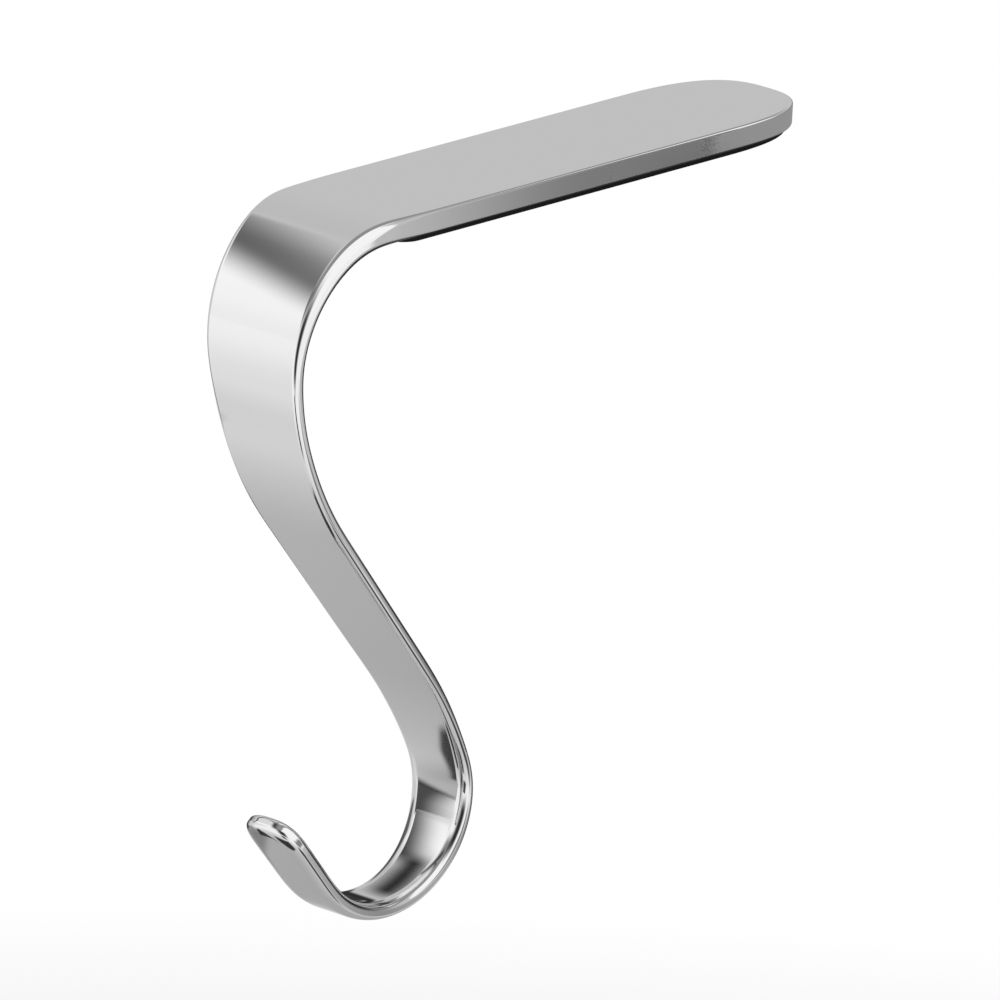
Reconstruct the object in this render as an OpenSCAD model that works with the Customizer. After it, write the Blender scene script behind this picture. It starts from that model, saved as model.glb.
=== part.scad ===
// Mantel stocking holder
// One bent strip of plated metal: a flat tongue that lies on the shelf, a bend over the shelf's edge,
// a stem that sweeps back and narrows, and a hook for the stocking's loop. A thin pad is stuck under
// the tongue. +Z is up, +Y points back over the shelf, and the origin is the middle of the pad's underside.
// Distances along the strip are measured on its show face, from the tip of the tongue to the tip of the hook.

/* [Tongue] */
// Straight length of the tongue, from its rounded tip to the front bend
tongue_l = 97; // [80:1:120]
// Width of the tongue
tongue_w = 22.5; // [18:0.5:28]
// Thickness of the tongue
tongue_t = 3.6; // [2.4:0.1:5]
// Length over which the tongue's end rounds off
tongue_end_l = 22; // [12:1:30]
// Fullness of the rounded ends: 2 is an ellipse, more is squarer
end_power = 2.8; // [2:0.1:4]
// Radius along the edges of the tongue
tongue_edge_r = 0.4; // [0.2:0.1:1]

/* [Front bend] */
// Outer radius of the upper part of the front bend
bend_top_r = 16; // [12:0.5:30]
// Angle that the upper part turns through
bend_top_a = 42; // [30:1:50]
// Outer radius of the lower part of the front bend
bend_low_r = 20; // [14:0.5:35]
// Angle that the lower part turns through
bend_low_a = 58; // [45:1:65]
// Width of the strip at the foot of the front bend
bend_w = 17; // [14:0.5:22]
// How far the rolled edge of the bend reaches in across the show face
bend_edge_w = 1.5; // [0.8:0.1:2.5]
// How far the rolled edge of the bend reaches down the side
bend_edge_d = 2; // [1:0.1:2.2]
// How far the back edge of the bend reaches in across the back
bend_back_w = 0.7; // [0.4:0.1:1.2]
// How far the back edge of the bend reaches up the side
bend_back_d = 1.2; // [0.4:0.1:1.2]

/* [Stem] */
// Outer radius of the shoulder, which carries the strip back under the tongue
shoulder_r = 57; // [40:1:80]
// Angle that the shoulder turns through
shoulder_a = 30.5; // [20:0.5:36]
// Width at the foot of the shoulder
shoulder_w = 16; // [12:0.5:20]
// Length of the straight middle of the stem
stem_l = 34; // [15:1:50]
// Width at the foot of the straight stem
stem_w = 14.5; // [10:0.5:18]
// Inner radius of the slow curve that turns the stem down again
sweep_r = 75; // [50:1:120]
// Angle that the slow curve turns through
sweep_a = 14.5; // [8:0.5:22]
// Width at the foot of the slow curve
sweep_w = 12.5; // [9:0.5:16]
// Thickness of the stem
stem_t = 1.8; // [1.4:0.1:3]
// Radius along the edges of the stem
stem_edge_r = 0.8; // [0.3:0.1:0.9]

/* [Hook] */
// Inner radius of the hook's bowl
bowl_r = 13; // [9:0.5:18]
// Angle that the bowl turns through
bowl_a = 97; // [85:1:110]
// Width in the bowl
bowl_w = 9; // [7:0.5:12]
// Inner radius of the lip, which lifts the strip forward and up
lip_r = 16.8; // [12:0.2:24]
// Angle that the lip turns through
lip_a = 67.5; // [50:0.5:80]
// Straight length of the hook's tip
tip_l = 16; // [10:1:24]
// Width of the hook's tip
tip_w = 10.5; // [8:0.5:13]
// Length over which the hook's tip rounds off
tip_end_l = 6; // [4:0.5:8]
// Thickness of the hook
hook_t = 2.8; // [1.6:0.1:3.6]
// How far the hook's rounded edges reach in across its faces
hook_edge_w = 2; // [0.6:0.1:2.4]
// How far the hook's rounded edges reach down its sides
hook_edge_r = 1.1; // [0.5:0.1:1.2]

/* [Pad] */
// Thickness of the pad
pad_t = 1; // [0.6:0.1:2]
// Distance from the pad's edge to the edge of the tongue
pad_inset = 1; // [0.6:0.1:3]
// Distance from the pad's front end to the place where the tongue starts to bend
pad_front_gap = 0.3; // [0.2:0.1:10]
// Radius of the pad's two front corners
pad_corner_r = 4; // [1:0.5:5.5]

/* [Hidden] */

// Length over which one radius along the strip runs into the next
heading_ease_l = 6;
// Length over which one width or thickness runs into the next
section_ease_l = 14;
// The tongue's full width and thickness run on into the front bend by this much
tongue_run_on = 5;
// The stem has its own width and thickness from this far past the front bend
stem_settle = 5;
// The hook has its full thickness from this far before the end of the bowl
hook_lead = 4;
// Spacing of the sections along the bent part of the strip
section_step = 1.5;
// Spacing of the points that the strip's course is added up from
course_step = 0.5;
// The rolled edge of the bend starts this far before the bend, and is full this far past its start
roll_start_lead = 8;
roll_full_lag = 8;
// Share of the thickness that the edge along the show face, and the one along the back, may take up
show_edge_share = 0.6;
back_edge_share = 0.36;
// Faces round each of the strip's edges
edge_faces = 4;
// Sections in each rounded end
end_sections = 12;
// The last section of a rounded end, in degrees towards its tip
end_last_a = 88;
// Samples on each side of a place that is smoothed
ease_samples = 4;

// Courses of the strip as [length, turn]: a positive turn dips the strip, a negative one lifts it
courses = [
    [tongue_l, 0],
    [arc_length(bend_top_r, bend_top_a), bend_top_a],
    [arc_length(bend_low_r, bend_low_a), bend_low_a],
    [arc_length(shoulder_r, shoulder_a), shoulder_a],
    [stem_l, 0],
    [arc_length(sweep_r, sweep_a), -sweep_a],
    [arc_length(bowl_r, bowl_a), -bowl_a],
    [arc_length(lip_r, lip_a), -lip_a],
    [tip_l, 0],
];

// Where each course ends along the strip, and the heading there
ends = running([for (c = courses) c[0]]);
turns = running([for (c = courses) c[1]]);
heading_table = [for (i = [0:len(ends) - 1]) [ends[i], turns[i]]];
bend_start = ends[1];
bend_middle = ends[2];
bend_end = ends[3];
shoulder_end = ends[4];
stem_end = ends[5];
sweep_end = ends[6];
bowl_end = ends[7];
strip_l = ends[9];

// Width, thickness and edges along the strip
width_table = [
    [0, tongue_w],
    [bend_start + tongue_run_on, tongue_w],
    [bend_end + stem_settle, bend_w],
    [shoulder_end, shoulder_w],
    [stem_end, stem_w],
    [sweep_end, sweep_w],
    [bowl_end, bowl_w],
    [strip_l, tip_w],
];
thickness_table = [
    [0, tongue_t],
    [bend_start + tongue_run_on, tongue_t],
    [bend_end + stem_settle, stem_t],
    [sweep_end, stem_t],
    [bowl_end - hook_lead, hook_t],
    [strip_l, hook_t],
];
// The edges along the show face and along the back, which are rolled over further in the bend
function edge_table(bend_edge, hook_edge) = [
    [0, tongue_edge_r],
    [bend_start - roll_start_lead, tongue_edge_r],
    [bend_start + roll_full_lag, bend_edge],
    [bend_middle, bend_edge],
    [bend_end, stem_edge_r],
    [stem_end, stem_edge_r],
    [sweep_end, hook_edge],
    [strip_l, hook_edge],
];
show_reach_table = edge_table(bend_edge_w, hook_edge_w);
show_drop_table = edge_table(bend_edge_d, hook_edge_r);
back_reach_table = edge_table(bend_back_w, hook_edge_w);
back_drop_table = edge_table(bend_back_d, hook_edge_r);

// The flat underside of the tongue ends where the heading starts to change
flat_end = tongue_l - heading_ease_l/2;
pad_w = tongue_w - 2*pad_inset;
pad_l = flat_end - pad_front_gap - pad_inset;
tongue_tip_y = pad_l/2 + pad_inset;
show_face_z = pad_t + tongue_t;

function arc_length(r, a) = r*a*PI/180;
function total(v) = v*[for (x = v) 1];
function running(v) = [for (i = 0, t = 0; i <= len(v); t = t + (i < len(v) ? v[i] : 0), i = i + 1) t];

// Value from a table of [place, value], averaged over a length so that it has no corners
function eased(s, table, ease_l) =
    total([for (k = [-ease_samples:ease_samples]) lookup(s + k*ease_l/(2*ease_samples), table)])
    /(2*ease_samples + 1);

// Heading of the strip at a place: 0 on the tongue, 90 straight down, negative where it rises
function heading(s) = eased(s, heading_table, heading_ease_l);
function width(s) = eased(s, width_table, section_ease_l);
function thickness(s) = eased(s, thickness_table, section_ease_l);
function show_drop(s) = min(lookup(s, show_drop_table), show_edge_share*thickness(s));
function back_drop(s) = min(lookup(s, back_drop_table), back_edge_share*thickness(s));

// The show face's course, added up from short steps along the heading
course_n = ceil(strip_l/course_step);
course_dl = strip_l/course_n;
course = [
    for (
        i = 0, y = tongue_tip_y, z = show_face_z;
        i <= course_n;
        y = y - course_dl*cos(heading((i + 0.5)*course_dl)),
        z = z - course_dl*sin(heading((i + 0.5)*course_dl)),
        i = i + 1
    ) [i*course_dl, y, z]
];
course_y = [for (p = course) [p[0], p[1]]];
course_z = [for (p = course) [p[0], p[2]]];

// Point at a place along the strip, across it, and below its show face
function strip_point(s, x, depth) =
    let (h = heading(s))
    [x, lookup(s, course_y) + depth*sin(h), lookup(s, course_z) - depth*cos(h)];

// Share of the half width, and of the end's length, that a rounded end has reached at an angle
function end_side(a) = sign(cos(a))*pow(abs(cos(a)), 2/end_power);
function end_reach(a) = pow(sin(a), 2/end_power);

// A quarter of an ellipse from a face to the side, as [inset from the side, drop below the face]
function rounded_edge(reach, drop) = [
    for (k = [0:edge_faces]) [reach*(1 - sin(90*k/edge_faces)), drop*(1 - cos(90*k/edge_faces))]
];

// One side of the section from the show face round to the back, as [inset from the side, depth]
function side_profile(s) =
    let (
        show = rounded_edge(lookup(s, show_reach_table), show_drop(s)),
        back = rounded_edge(lookup(s, back_reach_table), back_drop(s)),
        t = thickness(s)
    )
    [
        for (q = show) q,
        for (k = [edge_faces:-1:0]) [back[k][0], t - back[k][1]],
    ];

// Closed section at a place: angle and end_l are 0 along the strip, and place it in a rounded end
function section(s, angle, end_l) =
    let (
        half_w = width(s)/2,
        profile = side_profile(s),
        m = len(profile),
        at = [for (q = profile) s + sign(end_l)*(abs(end_l) - q[0])*end_reach(angle)],
        x = [for (q = profile) (half_w - q[0])*end_side(angle)]
    )
    [
        for (i = [0:m - 1]) strip_point(at[i], x[i], profile[i][1]),
        for (i = [m - 1:-1:0]) strip_point(at[i], -x[i], profile[i][1]),
    ];

// All sections: the tongue's rounded end, the bent part, and the hook's rounded tip
tip_start = strip_l - tip_end_l;
bent_n = ceil((tip_start - flat_end)/section_step);
sections = [
    for (i = [end_sections:-1:1]) section(tongue_end_l, end_last_a*i/end_sections, -tongue_end_l),
    section(tongue_end_l, 0, 0),
    for (i = [0:bent_n]) section(flat_end + i*(tip_start - flat_end)/bent_n, 0, 0),
    for (i = [1:end_sections]) section(tip_start, end_last_a*i/end_sections, tip_end_l),
];
ring_n = len(sections[0]);

// Faces between neighbouring sections, and the narrow strips that close both ends
function skin_faces() = [
    for (i = [0:len(sections) - 2], j = [0:ring_n - 1])
        let (a = i*ring_n, b = a + ring_n, k = (j + 1)%ring_n) [a + j, a + k, b + k, b + j]
];
function cap_faces(first, flip) = [
    for (j = [0:ring_n/2 - 2])
        let (f = [first + j, first + ring_n - 1 - j, first + ring_n - 2 - j, first + j + 1])
        flip ? [f[3], f[2], f[1], f[0]] : f
];

module hanger_strip() {
    color("silver")
    polyhedron(
        points = [for (ring = sections, p = ring) p],
        faces = concat(
            skin_faces(),
            cap_faces(0, false),
            cap_faces((len(sections) - 1)*ring_n, true)
        ),
        convexity = 6
    );
}

// Outline of the pad: the tongue's rounded end set in by the inset, and two rounded front corners
pad_end_y = tongue_tip_y - tongue_end_l;
pad_front_y = -pad_l/2;
pad_outline = [
    for (a = [0:7.5:180])
        [pad_w/2*end_side(a), pad_end_y + (tongue_end_l - pad_inset)*end_reach(a)],
    for (a = [180:15:270])
        [-pad_w/2 + pad_corner_r*(1 + cos(a)), pad_front_y + pad_corner_r*(1 + sin(a))],
    for (a = [270:15:360])
        [pad_w/2 - pad_corner_r*(1 - cos(a)), pad_front_y + pad_corner_r*(1 + sin(a))],
];

module grip_pad() {
    color("#1e1e1e")
    linear_extrude(height = pad_t)
        polygon(pad_outline);
}

hanger_strip();
grip_pad();
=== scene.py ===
"""Dresses the mantel stocking holder: a bent strip of bright plated metal with a thin black pad."""

import math

import bmesh
import bpy
from mathutils import Matrix, Vector


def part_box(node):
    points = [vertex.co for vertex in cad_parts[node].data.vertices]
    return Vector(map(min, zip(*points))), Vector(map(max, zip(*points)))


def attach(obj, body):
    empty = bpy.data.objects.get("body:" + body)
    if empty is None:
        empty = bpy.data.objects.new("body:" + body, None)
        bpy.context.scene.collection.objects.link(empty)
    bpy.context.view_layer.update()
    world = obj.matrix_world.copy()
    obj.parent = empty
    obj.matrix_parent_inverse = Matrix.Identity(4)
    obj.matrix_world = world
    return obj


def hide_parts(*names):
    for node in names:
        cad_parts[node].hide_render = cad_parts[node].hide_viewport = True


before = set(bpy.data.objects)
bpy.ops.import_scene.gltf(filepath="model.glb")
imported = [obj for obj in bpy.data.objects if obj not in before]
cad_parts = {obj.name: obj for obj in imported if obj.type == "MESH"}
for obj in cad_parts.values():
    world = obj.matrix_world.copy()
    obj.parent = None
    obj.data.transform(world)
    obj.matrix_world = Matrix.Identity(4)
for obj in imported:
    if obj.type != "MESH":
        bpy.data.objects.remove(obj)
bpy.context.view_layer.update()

bl_info = {
    "name": "Mantel Stocking Holder",
    "version": (1, 0, 0),
    "blender": (4, 5, 0),
    "location": "3D View > Sidebar > Stocking Holder",
    "description": "Builds a bent plated strip with a padded tongue and an upturned hook",
    "category": "Add Mesh",
}

MM = 0.001
STRIP_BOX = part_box("hanger_strip")
PAD_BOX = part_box("grip_pad")
BODY = "root"

# Shares of the thickness that the rounding along the show face, and the one along the back, may take up
SHOW_EDGE_SHARE = 0.6
BACK_EDGE_SHARE = 0.36
# Points of the strip that lie closer together than this are one, as at its two ends
MERGE_DISTANCE = 0.002 * MM


# Property helpers

def length(name, millimetres, description):
    """A length that the sidebar shows in the scene's own unit."""
    return bpy.props.FloatProperty(
        name=name, description=description, default=millimetres * MM, min=0, precision=5, unit="LENGTH"
    )


def turn(name, degrees, description):
    """An angle that a stretch of the strip turns through."""
    return bpy.props.FloatProperty(
        name=name, description=description, default=math.radians(degrees), subtype="ANGLE"
    )


def amount(name, default, description, low=0.0, high=1.0):
    """A plain number between two limits."""
    return bpy.props.FloatProperty(
        name=name, description=description, default=default, min=low, max=high
    )


def count(name, default, description):
    """How many sections or faces a shape is made of."""
    return bpy.props.IntProperty(name=name, description=description, default=default, min=1)


def tint(name, grey, description):
    """A colour, given as a grey level in linear light."""
    return bpy.props.FloatVectorProperty(
        name=name, description=description, default=(grey, grey, grey), min=0, max=1, size=3, subtype="COLOR"
    )


class StripSizes(bpy.types.PropertyGroup):
    """Sizes of the bent strip, along its show face from the tongue's tip to the hook's tip."""

    tongue_tip: bpy.props.FloatProperty(
        name="Tongue Tip", description="How far back the tip of the tongue reaches",
        default=STRIP_BOX[1].y, precision=5, unit="LENGTH",
    )
    show_face: bpy.props.FloatProperty(
        name="Show Face", description="Height of the tongue's upper face",
        default=STRIP_BOX[1].z, precision=5, unit="LENGTH",
    )
    tongue_length: length("Tongue Length", 97, "Straight length of the tongue, up to the front bend")
    tongue_width: length("Tongue Width", 22.5, "Width of the tongue")
    tongue_thickness: length("Tongue Thickness", 3.6, "Thickness of the tongue")
    tongue_end: length("Tongue End", 22, "Length over which the tongue's end rounds off")
    tongue_edge: length("Tongue Edge Radius", 0.4, "Radius along the edges of the tongue")
    bend_top_radius: length("Bend Top Radius", 16, "Outer radius of the upper part of the front bend")
    bend_top_turn: turn("Bend Top Turn", 42, "Angle that the upper part of the bend turns through")
    bend_low_radius: length("Bend Low Radius", 20, "Outer radius of the lower part of the front bend")
    bend_low_turn: turn("Bend Low Turn", 58, "Angle that the lower part of the bend turns through")
    bend_width: length("Bend Width", 17, "Width at the foot of the front bend")
    bend_edge_reach: length("Bend Edge Reach", 1.5, "Reach of the bend's rolled edge across the show face")
    bend_edge_drop: length("Bend Edge Drop", 2, "Reach of the bend's rolled edge down the side")
    bend_back_reach: length("Bend Back Reach", 0.7, "Reach of the bend's back edge across the back")
    bend_back_drop: length("Bend Back Drop", 1.2, "Reach of the bend's back edge up the side")
    shoulder_radius: length("Shoulder Radius", 57, "Radius that carries the strip back under the tongue")
    shoulder_turn: turn("Shoulder Turn", 30.5, "Angle that the shoulder turns through")
    shoulder_width: length("Shoulder Width", 16, "Width at the foot of the shoulder")
    stem_length: length("Stem Length", 34, "Length of the straight middle of the stem")
    stem_width: length("Stem Width", 14.5, "Width at the foot of the straight stem")
    stem_thickness: length("Stem Thickness", 1.8, "Thickness of the stem")
    stem_edge: length("Stem Edge Radius", 0.8, "Radius along the edges of the stem")
    sweep_radius: length("Sweep Radius", 75, "Radius of the slow curve that turns the stem down again")
    sweep_turn: turn("Sweep Turn", 14.5, "Angle that the slow curve turns through")
    sweep_width: length("Sweep Width", 12.5, "Width at the foot of the slow curve")
    bowl_radius: length("Bowl Radius", 13, "Inner radius of the hook's bowl")
    bowl_turn: turn("Bowl Turn", 97, "Angle that the bowl turns through")
    bowl_width: length("Bowl Width", 9, "Width in the bowl")
    lip_radius: length("Lip Radius", 16.8, "Inner radius of the lip that lifts the hook's tip")
    lip_turn: turn("Lip Turn", 67.5, "Angle that the lip turns through")
    tip_length: length("Tip Length", 16, "Straight length of the hook's tip")
    tip_width: length("Tip Width", 10.5, "Width of the hook's tip")
    tip_end: length("Tip End", 6, "Length over which the hook's tip rounds off")
    hook_thickness: length("Hook Thickness", 2.8, "Thickness of the hook")
    hook_edge_reach: length("Hook Edge Reach", 2, "Reach of the hook's rounded edges across its faces")
    hook_edge_drop: length("Hook Edge Drop", 1.1, "Reach of the hook's rounded edges down its sides")
    roll_lead: length("Roll Lead", 8, "How far before the bend its rolled edge starts")
    roll_lag: length("Roll Lag", 8, "How far into the bend its rolled edge is full")
    run_on: length("Run-on", 5, "How far each section of the bend lags behind its turn")
    hook_lead: length("Hook Lead", 4, "How far before the bowl's end the hook is at full thickness")
    turn_ease: length("Turn Ease", 6, "Length over which one radius runs into the next")
    section_ease: length("Section Ease", 14, "Length over which one width or thickness runs into the next")
    crisp_margin: length("Crisp Margin", 0.06, "Narrow strip that keeps each flat face flat up to its edge")
    end_power: amount("End Power", 2.8, "Fullness of the rounded ends, where 2 is an ellipse", 2, 4)
    sections: count("Sections", 480, "Sections between the two rounded ends")
    end_sections: count("End Sections", 36, "Sections in each rounded end")
    edge_faces: count("Edge Faces", 8, "Faces round each edge")


class PadSizes(bpy.types.PropertyGroup):
    """Sizes of the pad under the tongue, in from the strip's own outline."""

    inset: length("Inset", 1, "Distance from the pad's edge to the edge of the tongue")
    corner_radius: length("Corner Radius", 4, "Radius of the pad's two front corners")
    edge_radius: length("Edge Radius", 0.2, "Rounding along the pad's lower edge")
    edge_faces: count("Edge Faces", 3, "Faces round the pad's lower edge")


class Finishes(bpy.types.PropertyGroup):
    """Colours and polish of the metal and the pad."""

    plating: tint("Plating", 0.86, "Colour of the bright plating")
    plating_roughness: amount("Plating Roughness", 0.035, "How much the plating blurs what it mirrors")
    pad: tint("Pad", 0.006, "Colour of the rubber pad")
    pad_roughness: amount("Pad Roughness", 0.75, "Roughness of the rubber pad")
    pad_shine: amount("Pad Shine", 0.2, "How strongly the rubber pad shines")


class StudioSizes(bpy.types.PropertyGroup):
    """The camera's angle and distance, and the floor's depth and finish."""

    azimuth: turn("Azimuth", 40.79, "Camera's turn about the vertical, from straight in front")
    elevation: turn("Elevation", 17.30, "Camera's height above the horizon")
    roll: turn("Roll", 2.94, "Camera's roll about its own axis")
    distance: length("Distance", 3381, "Distance from the camera to the holder")
    frame_width: length("Frame Width", 149.6, "Width that the picture spans at the holder")
    floor_depth: length("Floor Depth", 355, "Depth of the floor below the shelf face")
    floor: tint("Floor", 0.65, "Colour of the floor near the holder")
    floor_roughness: amount("Floor Roughness", 0.9, "Roughness of the floor")


# Node trees

def math_node(tree, operation, *values):
    """Adds a Math node on fields or numbers, and returns its result as a field."""
    node = tree.nodes.new("ShaderNodeMath")
    node.operation = operation
    for socket, value in zip(node.inputs, values):
        plug(tree, value, socket)
    return Field(tree, node.outputs[0])


class Field:
    """A socket of a node tree; Python's operators on it add Math nodes."""

    def __init__(self, tree, socket):
        self.tree = tree
        self.socket = socket

    def __add__(self, other):
        return math_node(self.tree, "ADD", self, other)

    def __sub__(self, other):
        return math_node(self.tree, "SUBTRACT", self, other)

    def __rsub__(self, other):
        return math_node(self.tree, "SUBTRACT", other, self)

    def __mul__(self, other):
        return math_node(self.tree, "MULTIPLY", self, other)

    def __truediv__(self, other):
        return math_node(self.tree, "DIVIDE", self, other)

    def __rtruediv__(self, other):
        return math_node(self.tree, "DIVIDE", other, self)

    def __pow__(self, other):
        return math_node(self.tree, "POWER", self, other)

    def __neg__(self):
        return self * -1

    __radd__ = __add__
    __rmul__ = __mul__

    def floor(self):
        return math_node(self.tree, "FLOOR", self)

    def sin(self):
        return math_node(self.tree, "SINE", self)

    def cos(self):
        return math_node(self.tree, "COSINE", self)

    def at_least(self, other):
        return math_node(self.tree, "MAXIMUM", self, other)

    def at_most(self, other):
        return math_node(self.tree, "MINIMUM", self, other)

    def between(self, low, high):
        return self.at_least(low).at_most(high)

    def reached(self, other):
        """1 from a whole number on and 0 below it, with the test halfway, clear of rounding."""
        return math_node(self.tree, "GREATER_THAN", self, other - 0.5)


def plug(tree, value, socket):
    """Gives a socket its value: a link from a field or a socket, or a constant."""
    if isinstance(value, Field):
        tree.links.new(value.socket, socket)
    elif isinstance(value, bpy.types.NodeSocket):
        tree.links.new(value, socket)
    else:
        socket.default_value = value


def add_node(tree, kind, settings=(), **inputs):
    """Adds a node, sets its properties and plugs its named inputs, where an underscore is a space."""
    node = tree.nodes.new(kind)
    for name, value in dict(settings).items():
        setattr(node, name, value)
    for name, value in inputs.items():
        plug(tree, value, node.inputs[name.replace("_", " ")])
    return node


def add_input(tree, name, kind, default=None):
    """Adds a named input to a tree."""
    socket = tree.interface.new_socket(name, in_out="INPUT", socket_type=kind)
    if default is not None:
        socket.default_value = default
    return socket


def ramp_group():
    """A ramp from 0 to 1 between two places along the strip, averaged over a length so it has no corners."""
    tree = bpy.data.node_groups.new("Eased Ramp", "GeometryNodeTree")
    for name in ("Along", "Start", "Length", "Ease"):
        add_input(tree, name, "NodeSocketFloat")
    tree.interface.new_socket("Share", in_out="OUTPUT", socket_type="NodeSocketFloat")
    inputs = tree.nodes.new("NodeGroupInput")
    along, start, span, ease = (Field(tree, inputs.outputs[i]) for i in range(4))

    def area(place):
        inside = place.between(0, span)
        return inside * inside / (2 * span) + (place - span).at_least(0)

    past = along - start
    share = (area(past + ease * 0.5) - area(past - ease * 0.5)) / ease
    output = tree.nodes.new("NodeGroupOutput")
    tree.links.new(share.socket, output.inputs[0])
    return tree


class StripFormula:
    """The strip's rule as fields: heading, width, thickness and edge radius at a place along it."""

    def __init__(self, tree, size):
        self.tree = tree
        self.size = size
        self.group = ramp_group()
        courses = [
            (size["tongue_length"], None),
            (size["bend_top_radius"] * size["bend_top_turn"], size["bend_top_turn"]),
            (size["bend_low_radius"] * size["bend_low_turn"], size["bend_low_turn"]),
            (size["shoulder_radius"] * size["shoulder_turn"], size["shoulder_turn"]),
            (size["stem_length"], None),
            (size["sweep_radius"] * size["sweep_turn"], -size["sweep_turn"]),
            (size["bowl_radius"] * size["bowl_turn"], -size["bowl_turn"]),
            (size["lip_radius"] * size["lip_turn"], -size["lip_turn"]),
            (size["tip_length"], None),
        ]
        place = 0
        self.turns = []
        self.ends = [place]
        for span, angle in courses:
            if angle is not None:
                self.turns.append((place, span, angle))
            place = place + span
            self.ends.append(place)
        self.length = place

    def ramp(self, along, start, span, ease):
        node = add_node(
            self.tree, "GeometryNodeGroup", {"node_tree": self.group},
            Along=along, Start=start, Length=span, Ease=ease,
        )
        return Field(self.tree, node.outputs[0])

    def heading(self, along):
        """How far the strip dips below level at a place, in radians."""
        ease = self.size["turn_ease"]
        return sum(self.ramp(along, start, span, ease) * angle for start, span, angle in self.turns)

    def law(self, along, knots, ease="section_ease"):
        """A value that runs from knot to knot, each knot a place and a value."""
        value = knots[0][1]
        for (start, before), (end, after) in zip(knots, knots[1:]):
            share = self.ramp(along, start, end - start, self.size[ease])
            value = value + share * (after - before)
        return value

    def width(self, along):
        size, ends = self.size, self.ends
        return self.law(along, [
            (ends[1] + size["run_on"], size["tongue_width"]),
            (ends[3] + size["run_on"], size["bend_width"]),
            (ends[4], size["shoulder_width"]),
            (ends[5], size["stem_width"]),
            (ends[6], size["sweep_width"]),
            (ends[7], size["bowl_width"]),
            (self.length, size["tip_width"]),
        ])

    def thickness(self, along):
        size, ends = self.size, self.ends
        return self.law(along, [
            (ends[1] + size["run_on"], size["tongue_thickness"]),
            (ends[3] + size["run_on"], size["stem_thickness"]),
            (ends[6], size["stem_thickness"]),
            (ends[7] - size["hook_lead"], size["hook_thickness"]),
        ])

    def edge(self, along, bend_edge, hook_edge):
        """How far an edge's rounding reaches: as on the tongue, the bend, the stem and the hook in turn."""
        size, ends = self.size, self.ends
        return self.law(along, [
            (ends[1] - size["roll_lead"], size["tongue_edge"]),
            (ends[1] + size["roll_lag"], bend_edge),
            (ends[2], bend_edge),
            (ends[3], size["stem_edge"]),
            (ends[5], size["stem_edge"]),
            (ends[6], hook_edge),
        ], ease="turn_ease")

    def edge_reach(self, along, back):
        """How far the rounding reaches in across the show face or, where back is 1, across the back."""
        size = self.size
        show = self.edge(along, size["bend_edge_reach"], size["hook_edge_reach"])
        return show + back * (self.edge(along, size["bend_back_reach"], size["hook_edge_reach"]) - show)

    def edge_drop(self, along, back, thickness):
        """How far the rounding reaches down the side, within its share of the thickness."""
        size = self.size
        show = self.edge(along, size["bend_edge_drop"], size["hook_edge_drop"])
        show = show.at_most(SHOW_EDGE_SHARE * thickness)
        behind = self.edge(along, size["bend_back_drop"], size["hook_edge_drop"])
        behind = behind.at_most(BACK_EDGE_SHARE * thickness)
        return show + back * (behind - show)


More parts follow.
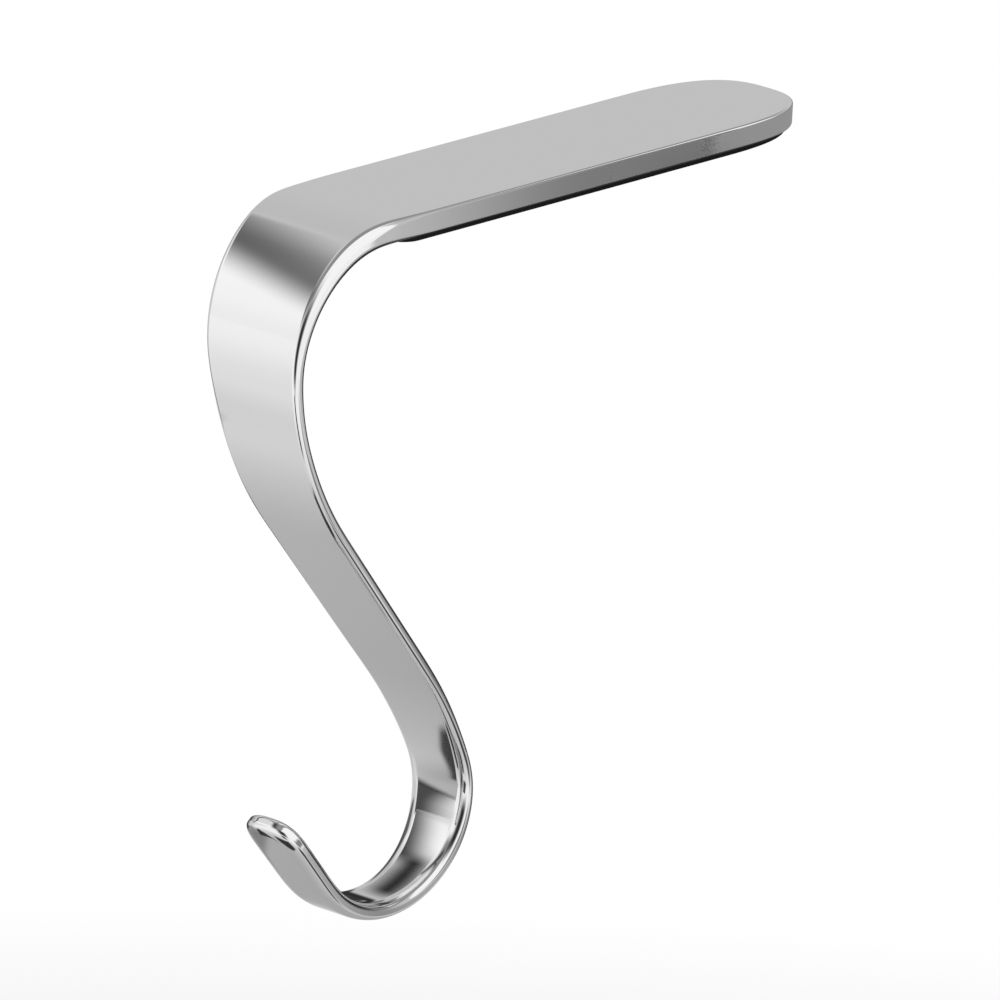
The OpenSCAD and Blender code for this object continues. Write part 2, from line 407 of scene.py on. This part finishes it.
def strip_tree(sizes):
    """The tree that sweeps the rounded section along the strip's course and closes both ends."""
    tree = bpy.data.node_groups.new("Bent Strip", "GeometryNodeTree")
    tree.interface.new_socket("Geometry", in_out="OUTPUT", socket_type="NodeSocketGeometry")
    for name, value in sizes.items():
        kind = "NodeSocketInt" if isinstance(value, int) else "NodeSocketFloat"
        add_input(tree, name, kind, value)
    add_input(tree, "material", "NodeSocketMaterial")
    inputs = tree.nodes.new("NodeGroupInput")
    size = {name: Field(tree, inputs.outputs[name]) for name in sizes}
    formula = StripFormula(tree, size)

    end_rows, middle_rows, edge_faces = size["end_sections"], size["sections"], size["edge_faces"]
    # A quarter of the section has a point for either margin and those of the rounded edge
    quarter_points = edge_faces + 3
    half_ring = 2 * quarter_points
    ring = 2 * half_ring
    grid = add_node(
        tree, "GeometryNodeMeshGrid",
        Vertices_X=middle_rows + 2 * end_rows + 1, Vertices_Y=ring + 1,
    )
    index = Field(tree, tree.nodes.new("GeometryNodeInputIndex").outputs[0])
    row = (index / (ring + 1)).floor()
    column = index - row * (ring + 1)

    # Place along the strip, held still in the rounded ends, and the course added up from it
    spacing = (formula.length - size["tongue_end"] - size["tip_end"]) / middle_rows

    def place(shift):
        return size["tongue_end"] + (row - end_rows + shift).between(0, middle_rows) * spacing

    along = place(0)
    step = place(1) - along
    step_heading = formula.heading(place(0.5))
    stride = add_node(
        tree, "ShaderNodeCombineXYZ", Y=-step * step_heading.cos(), Z=-step * step_heading.sin()
    )
    course = add_node(
        tree, "GeometryNodeAccumulateField", {"data_type": "FLOAT_VECTOR"},
        Value=stride.outputs[0], Group_ID=column,
    )
    course_point = add_node(tree, "ShaderNodeSeparateXYZ", Vector=course.outputs["Trailing"])
    course_y = Field(tree, course_point.outputs["Y"]) + size["tongue_tip"] - size["tongue_end"]
    course_z = Field(tree, course_point.outputs["Z"]) + size["show_face"]

    # One quarter of the section, mirrored to the left and to the back:
    # a margin on the face, the rounded edge, and a margin down the side
    wrapped = column * (ring - column).reached(1)
    left = wrapped.reached(half_ring)
    right_column = wrapped + left * (ring - 1 - 2 * wrapped)
    back = right_column.reached(quarter_points)
    quarter = right_column + back * (half_ring - 1 - 2 * right_column)
    angle = ((quarter - 1) / edge_faces).between(0, 1) * (math.pi / 2)
    thickness = formula.thickness(along)
    face_margin = size["crisp_margin"] * (1 - quarter.reached(1))
    side_margin = size["crisp_margin"] * quarter.reached(edge_faces + 2)
    inset = formula.edge_reach(along, back) * (1 - angle.sin()) + face_margin
    drop = formula.edge_drop(along, back, thickness) * (1 - angle.cos()) + side_margin
    depth = drop + back * (thickness - 2 * drop)

    # Rounded ends: how much of the half width is left, and how far the section is pushed out
    in_tongue = (end_rows - row).at_least(0)
    in_tip = (row - end_rows - middle_rows).at_least(0)
    angle_out = (in_tongue + in_tip) / end_rows * (math.pi / 2)
    power = 2 / size["end_power"]
    share = angle_out.cos().at_least(0) ** power
    reach = angle_out.sin().at_least(0) ** power
    push_tip = in_tip.reached(1) * (size["tip_end"] - inset)
    push_tongue = in_tongue.reached(1) * (size["tongue_end"] - inset)
    push = (push_tip - push_tongue) * reach

    heading = formula.heading(along)
    position = add_node(
        tree, "ShaderNodeCombineXYZ",
        X=(1 - 2 * left) * share * (0.5 * formula.width(along) - inset),
        Y=course_y + depth * heading.sin() - push * heading.cos(),
        Z=course_z - depth * heading.cos() - push * heading.sin(),
    )
    placed = add_node(
        tree, "GeometryNodeSetPosition", Geometry=grid.outputs["Mesh"], Position=position.outputs[0]
    )
    merged = add_node(
        tree, "GeometryNodeMergeByDistance", Geometry=placed.outputs[0], Distance=MERGE_DISTANCE
    )
    smooth = add_node(tree, "GeometryNodeSetShadeSmooth", Geometry=merged.outputs[0])
    real = add_node(tree, "GeometryNodeRealizeInstances", Geometry=smooth.outputs[0])
    plated = add_node(
        tree, "GeometryNodeSetMaterial", Geometry=real.outputs[0], Material=inputs.outputs["material"]
    )
    output = tree.nodes.new("NodeGroupOutput")
    tree.links.new(plated.outputs[0], output.inputs[0])
    return tree


# Shared steps

def fresh_object(name, mesh):
    """Links a new object for a mesh."""
    piece = bpy.data.objects.new(name, mesh)
    bpy.context.scene.collection.objects.link(piece)
    return piece


def bake_modifier(piece, modifier):
    """Turns a piece's modifier into plain mesh."""
    evaluated = piece.evaluated_get(bpy.context.evaluated_depsgraph_get())
    piece.data = bpy.data.meshes.new_from_object(evaluated)
    piece.modifiers.remove(modifier)


def new_material(name):
    """A material with an empty tree but for its shader, which is returned with the tree."""
    material = bpy.data.materials.new(name)
    material.use_nodes = True
    tree = material.node_tree
    return material, tree, tree.nodes["Principled BSDF"]


# Polishing marks in the plating's gloss: patches per metre, fineness,
# the stretch of the noise that they use, and how far they swing the roughness
MARK_SCALE = 60.0
MARK_DETAIL = 3.0
MARK_NOISE = (0.3, 0.7)
MARK_SWING = (0.8, 1.2)


def plating_material(finish):
    """Bright plating: a mirror with faint polishing marks in its gloss."""
    material, tree, shader = new_material("Bright Plating")
    shader.inputs["Base Color"].default_value = (*finish.plating, 1)
    shader.inputs["Metallic"].default_value = 1
    place = tree.nodes.new("ShaderNodeTexCoord").outputs["Object"]
    haze = add_node(tree, "ShaderNodeTexNoise", Vector=place, Scale=MARK_SCALE, Detail=MARK_DETAIL)
    gloss = add_node(
        tree, "ShaderNodeMapRange", Value=haze.outputs[0],
        From_Min=MARK_NOISE[0], From_Max=MARK_NOISE[1],
        To_Min=finish.plating_roughness * MARK_SWING[0], To_Max=finish.plating_roughness * MARK_SWING[1],
    )
    tree.links.new(gloss.outputs[0], shader.inputs["Roughness"])
    return material


# The rubber's grain: pebbles per metre, how strongly they show and their depth
GRAIN_SCALE = 2200.0
GRAIN_STRENGTH = 0.5
GRAIN_DEPTH = 0.05 * MM


def pad_material(finish):
    """Matte black rubber with a fine pebbled grain."""
    material, tree, shader = new_material("Pad Rubber")
    shader.inputs["Base Color"].default_value = (*finish.pad, 1)
    shader.inputs["Roughness"].default_value = finish.pad_roughness
    shader.inputs["Specular IOR Level"].default_value = finish.pad_shine
    place = tree.nodes.new("ShaderNodeTexCoord").outputs["Object"]
    grain = add_node(
        tree, "ShaderNodeTexVoronoi", {"feature": "SMOOTH_F1"}, Vector=place, Scale=GRAIN_SCALE
    )
    bump = add_node(
        tree, "ShaderNodeBump", Height=grain.outputs[0], Strength=GRAIN_STRENGTH, Distance=GRAIN_DEPTH
    )
    tree.links.new(bump.outputs[0], shader.inputs["Normal"])
    return material


class STOCKING_OT_hanger_strip(bpy.types.Operator):
    """Build the bent strip: tongue, front bend, stem and hook"""

    bl_idname = "stocking.hanger_strip"
    bl_label = "Hanger Strip"

    def execute(self, context):
        strip_sizes = context.scene.strip_sizes
        sizes = {name: getattr(strip_sizes, name) for name in StripSizes.__annotations__}
        tree = strip_tree(sizes)
        piece = fresh_object("hanger_strip_plated", bpy.data.meshes.new("hanger_strip_plated"))
        modifier = piece.modifiers.new("Bent Strip", "NODES")
        modifier.node_group = tree
        values = {**sizes, "material": plating_material(context.scene.finishes)}
        for item in tree.interface.items_tree:
            if item.in_out == "INPUT":
                modifier[item.identifier] = values[item.name]
        bake_modifier(piece, modifier)
        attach(piece, BODY)
        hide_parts("hanger_strip")
        return {"FINISHED"}


# A bevel's profile that is a quarter of a circle
ROUND_PROFILE = 0.5


def pad_outline(sizes, strip):
    """Half of the pad's outline, from the middle of its rounded end to the middle of its front."""
    half_width = PAD_BOX[1].x
    end_length = strip.tongue_end - sizes.inset
    end_start = PAD_BOX[1].y - end_length
    points = []
    power = 2 / strip.end_power
    for i in range(strip.end_sections + 1):
        angle = math.pi / 2 * (1 - i / strip.end_sections)
        x = half_width * max(math.cos(angle), 0) ** power
        points.append(Vector((x, end_start + end_length * math.sin(angle) ** power, 0)))
    for i in range(strip.edge_faces + 1):
        angle = math.pi / 2 * i / strip.edge_faces
        x = half_width - sizes.corner_radius * (1 - math.cos(angle))
        points.append(Vector((x, PAD_BOX[0].y + sizes.corner_radius * (1 - math.sin(angle)), 0)))
    return points


class STOCKING_OT_grip_pad(bpy.types.Operator):
    """Build the thin rubber pad under the tongue"""

    bl_idname = "stocking.grip_pad"
    bl_label = "Grip Pad"

    def execute(self, context):
        sizes = context.scene.pad_sizes
        right = pad_outline(sizes, context.scene.strip_sizes)
        left = [Vector((-point.x, point.y, 0)) for point in reversed(right[1:])]
        shape = bmesh.new()
        lower = shape.faces.new([shape.verts.new(point) for point in (*left, *right)])
        lower.normal_update()
        if lower.normal.z > 0:
            lower.normal_flip()
        rim = list(lower.edges)
        walls = bmesh.ops.extrude_face_region(shape, geom=[lower])
        top = [v for v in walls["geom"] if isinstance(v, bmesh.types.BMVert)]
        bmesh.ops.translate(shape, verts=top, vec=(0, 0, PAD_BOX[1].z))
        bmesh.ops.bevel(
            shape, geom=rim, offset=sizes.edge_radius, segments=sizes.edge_faces,
            profile=ROUND_PROFILE, affect="EDGES",
        )
        bmesh.ops.recalc_face_normals(shape, faces=shape.faces)
        mesh = bpy.data.meshes.new("grip_pad_rubber")
        shape.to_mesh(mesh)
        shape.free()
        piece = fresh_object("grip_pad_rubber", mesh)
        mesh.materials.append(pad_material(context.scene.finishes))
        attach(piece, BODY)
        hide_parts("grip_pad")
        return {"FINISHED"}


# Middle of the holder as the picture shows it, and how far the camera sees, in millimetres
PICTURE_MIDDLE = (-6.43, -1.88, -52.19)
CAMERA_REACH = 20000


def set_camera(studio):
    """Puts a long lens at the studio's angle, with the holder in the middle of the picture."""
    round_angle, rise = studio.azimuth, studio.elevation
    back = Vector((
        math.sin(round_angle) * math.cos(rise), -math.cos(round_angle) * math.cos(rise), math.sin(rise)
    ))
    level = Vector((math.cos(round_angle), math.sin(round_angle), 0))
    upright = back.cross(level)
    right = math.cos(studio.roll) * level + math.sin(studio.roll) * upright
    up = back.cross(right)
    middle = Vector(PICTURE_MIDDLE) * MM
    data = bpy.data.cameras.new("camera")
    data.lens = data.sensor_width * studio.distance / studio.frame_width
    data.clip_end = CAMERA_REACH * MM
    camera = fresh_object("camera", data)
    axes = Matrix((right, up, back)).transposed().to_4x4()
    camera.matrix_world = Matrix.Translation(middle + back * studio.distance) @ axes
    bpy.context.scene.camera = camera


# Light to the left of the holder, from the horizon in front over the top to the horizon behind:
# the angle in degrees and the brightness there, with the first at 0 and the last at 180
LEFT_LIGHT = [(0, 0.97), (20, 1.03), (45, 1.07), (75, 0.78), (110, 0.57), (158, 0.59), (180, 0.59)]
# Brightness of the big light on the right, and of the gap overhead between it and the left
RIGHT_LIGHT = 1.05
GAP_LIGHT = 0.3
# Where the gap starts and is full, by how far a direction points to the right and up,
# and where the big light does, by how far it points to the right
GAP_ACROSS = (-0.5, -0.25)
GAP_HEIGHT = (0.3, 0.6)
RIGHT_EDGE = (0.3, 0.42)


def smooth_step(tree, value, low, high):
    """Rises smoothly from 0 at one value to 1 at another."""
    return Field(tree, add_node(
        tree, "ShaderNodeMapRange", {"interpolation_type": "SMOOTHSTEP"},
        Value=value, From_Min=low, From_Max=high,
    ).outputs[0])


def set_world():
    """The studio above the horizon: a light on each side, and a dim gap overhead between them."""
    world = bpy.data.worlds.new("studio")
    bpy.context.scene.world = world
    world.use_nodes = True
    tree = world.node_tree
    direction = tree.nodes.new("ShaderNodeTexCoord").outputs["Generated"]
    parts = add_node(tree, "ShaderNodeSeparateXYZ", Vector=direction)
    x, y, z = (Field(tree, parts.outputs[axis]) for axis in "XYZ")
    lift = math_node(tree, "ARCTAN2", z.at_least(0), -y)
    ramp = add_node(tree, "ShaderNodeValToRGB", Fac=lift / math.pi)
    ramp.color_ramp.interpolation = "EASE"
    stops = ramp.color_ramp.elements
    for degrees, brightness in LEFT_LIGHT[1:-1]:
        stops.new(degrees / 180)
    for stop, (degrees, brightness) in zip(stops, LEFT_LIGHT):
        stop.color = (brightness, brightness, brightness, 1)
    left = Field(tree, ramp.outputs[0])
    gap = smooth_step(tree, x, *GAP_ACROSS) * smooth_step(tree, z, *GAP_HEIGHT)
    level = left + gap * (GAP_LIGHT - left)
    level = level + smooth_step(tree, x, *RIGHT_EDGE) * (RIGHT_LIGHT - level)
    tree.links.new(level.socket, tree.nodes["Background"].inputs["Color"])


def quad(name, corners):
    """A flat sheet between four corners in millimetres, with a UV map from 0 to 1 each way."""
    mesh = bpy.data.meshes.new(name)
    mesh.from_pydata([Vector(corner) * MM for corner in corners], [], [(0, 1, 2, 3)])
    uv_map = mesh.uv_layers.new(name="UVMap")
    for loop, uv in zip(uv_map.data, ((0, 0), (1, 0), (1, 1), (0, 1))):
        loop.uv = uv
    return fresh_object(name, mesh)


# Dark cards round the holder, seen only in reflections. Each has a corner and two sides in millimetres,
# the shares of its two sides that are soft at either end, and the share of the light that it holds back
CARDS = {
    "overhead": ((-207, 1, 262), (244, -140, -230), (-48, -3, -49), (0.3, 0.08), (0.667, 0.333), 0.82),
    "right_pale": ((120, 47, -260), (0, 0, 460), (0, 105, 0), (0.2, 0.15), (0.08, 0.03), 0.44),
    "right_dark": ((121, 66, -260), (0, 0, 460), (0, 87, 0), (0.2, 0.15), (0.68, 0.035), 0.6),
    "right_low": ((120, -70, -290), (0, 0, 150), (0, 130, 0), (0.3, 0.3), (0.3, 0.3), 0.92),
    "edge_low": ((119, -60, -150), (0, 0, 75), (0, 110, 0), (0.3, 0.3), (0.3, 0.2), 0.75),
    "left": ((-300, -330, -340), (0, 0, 490), (0, 500, 0), (0.3, 0.3), (0.3, 0.3), 0.35),
    "behind": ((-200, 150, -210), (0, 0, 170), (340, 0, 0), (0.15, 0.2), (0.1, 0.08), 0.95),
    "tongue_end": ((-150, 152, -80), (0, 0, 110), (273.5, 0, 0), (0.25, 0.25), (0.1, 0.011), 0.68),
    "camera_side": ((-48, -370, -260), (0, 100, 440), (306, 150, 0), (0.3, 0.4), (0.4, 0.4), 0.97),
    "front_low": ((-30, -410, -300), (180, 0, 0), (0, 190, 0), (0.3, 0.3), (0.1, 0.2), 0.93),
    "below": ((-140, -150, -300), (200, -51, 0), (0, 100, 0), (0.1, 0.2), (0.2, 0.1), 0.93),
    "hook_front": ((-30, -65, -111), (0, 0, 22), (0, 22, 0), (0.2, 0.12), (0.5, 0.15), 0.92),
    "hook_above": ((-31, -30, -130), (0, 0, 24), (0, -40, 0), (0.1, 0.1), (0.55, 0.05), 0.5),
    "hook_side": ((-62, -54, -106), (0, 0, 38), (0, 72, 0), (0.12, 0.3), (0.12, 0.2), 0.8),
}
# Curved dark cards to the left, each a flat piece of a ring: place across, the ring's middle and two radii
# in millimetres, two angles in degrees, the soft shares, and the share of the light that it holds back
CURVED_CARDS = {
    "shoulder": (-64, (-65, -33), (50, 100), (-72, 10), (0.29, 0.6), (0.2, 0.2), 0.17),
    "hook_left": (-60, (-30, -91.5), (54, 69), (5, 98), (0.04, 0.3), (0.25, 0.64), 0.93),
    "hook_back": (-61, (-30, -96), (63.5, 76.5), (62, 172), (0.2, 0.3), (0.5, 0.5), 0.95),
    "hook_low": (-90, (-40, -108), (89.4, 103), (-97, -44), (0.1, 0.15), (0.12, 0.1), 0.9),
}


def card_material(name, soft_along, soft_across, darkness):
    """Black gauze, dense in the middle and thin at the edges."""
    material = bpy.data.materials.new(name)
    material.use_nodes = True
    tree = material.node_tree
    tree.nodes.remove(tree.nodes["Principled BSDF"])
    uv = add_node(tree, "ShaderNodeSeparateXYZ", Vector=tree.nodes.new("ShaderNodeUVMap").outputs[0])
    along, across = Field(tree, uv.outputs["X"]), Field(tree, uv.outputs["Y"])
    cover = smooth_step(tree, along, 0, soft_along[0]) * smooth_step(tree, 1 - along, 0, soft_along[1])
    cover = cover * smooth_step(tree, across, 0, soft_across[0])
    cover = cover * smooth_step(tree, 1 - across, 0, soft_across[1])
    gauze = add_node(tree, "ShaderNodeBsdfTransparent", Color=1 - darkness * cover)
    tree.links.new(gauze.outputs[0], tree.nodes["Material Output"].inputs["Surface"])
    return material


def hang(card, soft_along, soft_across, darkness):
    """Makes a sheet a dark card that shows only in reflections."""
    card.data.materials.append(card_material(card.name, soft_along, soft_across, darkness))
    card.visible_camera = False
    card.visible_diffuse = False
    card.visible_shadow = False


def ring_point(x, middle, radius, angle):
    """A point of a ring that stands across X, with its angle from the front over the top."""
    return Vector((x, middle[0] - radius * math.cos(angle), middle[1] + radius * math.sin(angle))) * MM


def curved_sheet(name, x, middle, radii, angles, steps=24):
    """A flat sheet across X, cut as a piece of a ring, with a UV map from 0 to 1 each way."""
    points, places = [], []
    for i in range(steps + 1):
        angle = math.radians(angles[0] + (angles[1] - angles[0]) * i / steps)
        for j, radius in enumerate(radii):
            points.append(ring_point(x, middle, radius, angle))
            places.append((i / steps, j))
    faces = [(2 * i, 2 * i + 2, 2 * i + 3, 2 * i + 1) for i in range(steps)]
    mesh = bpy.data.meshes.new(name)
    mesh.from_pydata(points, [], faces)
    uv_map = mesh.uv_layers.new(name="UVMap")
    for loop in mesh.loops:
        uv_map.data[loop.index].uv = places[loop.vertex_index]
    return fresh_object(name, mesh)


def set_cards():
    """Hangs the dark cards that draw the plating's dark lines; the camera looks through them."""
    for name, (corner, along, across, *look) in CARDS.items():
        corner, along, across = Vector(corner), Vector(along), Vector(across)
        corners = [corner, corner + along, corner + along + across, corner + across]
        hang(quad(f"card_{name}", corners), *look)
    for name, (x, middle, radii, angles, *look) in CURVED_CARDS.items():
        hang(curved_sheet(f"card_{name}", x, middle, radii, angles), *look)


# Middle of the floor's natural patch, its radius where it starts to whiten and where it is all white,
# and half the floor's width, in millimetres
PATCH_MIDDLE = (-90, 120)
PATCH_INNER = 150
PATCH_OUTER = 570
FLOOR_HALF = 6000


def set_floor(studio):
    """A pale floor below the holder, which turns to the white background away from it."""
    low = -studio.floor_depth / MM
    signs = ((-1, -1), (1, -1), (1, 1), (-1, 1))
    floor = quad("floor", [(x * FLOOR_HALF, y * FLOOR_HALF, low) for x, y in signs])
    material, tree, shader = new_material("Pale Floor")
    shader.inputs["Base Color"].default_value = (*studio.floor, 1)
    shader.inputs["Roughness"].default_value = studio.floor_roughness
    place = tree.nodes.new("ShaderNodeTexCoord").outputs["Object"]
    middle = Vector((*PATCH_MIDDLE, low)) * MM
    distance = add_node(tree, "ShaderNodeVectorMath", {"operation": "DISTANCE"})
    plug(tree, place, distance.inputs[0])
    plug(tree, middle, distance.inputs[1])
    away = Field(tree, distance.outputs["Value"])
    whiteness = ((away / MM - PATCH_INNER) / (PATCH_OUTER - PATCH_INNER)).between(0, 1)
    path = tree.nodes.new("ShaderNodeLightPath")
    seen = Field(tree, path.outputs["Is Camera Ray"])
    seen = seen.at_least(path.outputs["Is Glossy Ray"]).at_least(path.outputs["Is Transmission Ray"])
    # A glow of strength 1 is plain white
    glow = add_node(tree, "ShaderNodeEmission", Strength=1.0)
    mix = add_node(tree, "ShaderNodeMixShader", Fac=seen * whiteness)
    tree.links.new(shader.outputs[0], mix.inputs[1])
    tree.links.new(glow.outputs[0], mix.inputs[2])
    tree.links.new(mix.outputs[0], tree.nodes["Material Output"].inputs["Surface"])
    floor.data.materials.append(material)


class STOCKING_OT_studio(bpy.types.Operator):
    """Set up the camera, the light round the holder and the pale floor"""

    bl_idname = "stocking.studio"
    bl_label = "Studio"

    def execute(self, context):
        studio = context.scene.studio
        set_camera(studio)
        set_world()
        set_cards()
        set_floor(studio)
        context.scene.view_settings.view_transform = "Standard"
        return {"FINISHED"}


class STOCKING_PT_sidebar(bpy.types.Panel):
    """Lists the pieces of the stocking holder"""

    bl_label = "Stocking Holder"
    bl_space_type = "VIEW_3D"
    bl_region_type = "UI"
    bl_category = "Stocking Holder"

    def draw(self, context):
        for operator in OPERATORS:
            self.layout.operator(operator.bl_idname)


GROUPS = {
    "strip_sizes": StripSizes,
    "pad_sizes": PadSizes,
    "finishes": Finishes,
    "studio": StudioSizes,
}
OPERATORS = (STOCKING_OT_studio, STOCKING_OT_hanger_strip, STOCKING_OT_grip_pad)


def register():
    for cls in (*GROUPS.values(), *OPERATORS, STOCKING_PT_sidebar):
        bpy.utils.register_class(cls)
    for name, group in GROUPS.items():
        setattr(bpy.types.Scene, name, bpy.props.PointerProperty(type=group))


def unregister():
    for name in GROUPS:
        delattr(bpy.types.Scene, name)
    for cls in reversed((*GROUPS.values(), *OPERATORS, STOCKING_PT_sidebar)):
        bpy.utils.unregister_class(cls)


def main():
    """Builds everything in order."""
    register()
    bpy.ops.stocking.studio()
    bpy.ops.stocking.hanger_strip()
    bpy.ops.stocking.grip_pad()


if __name__ == "__main__":
    main()
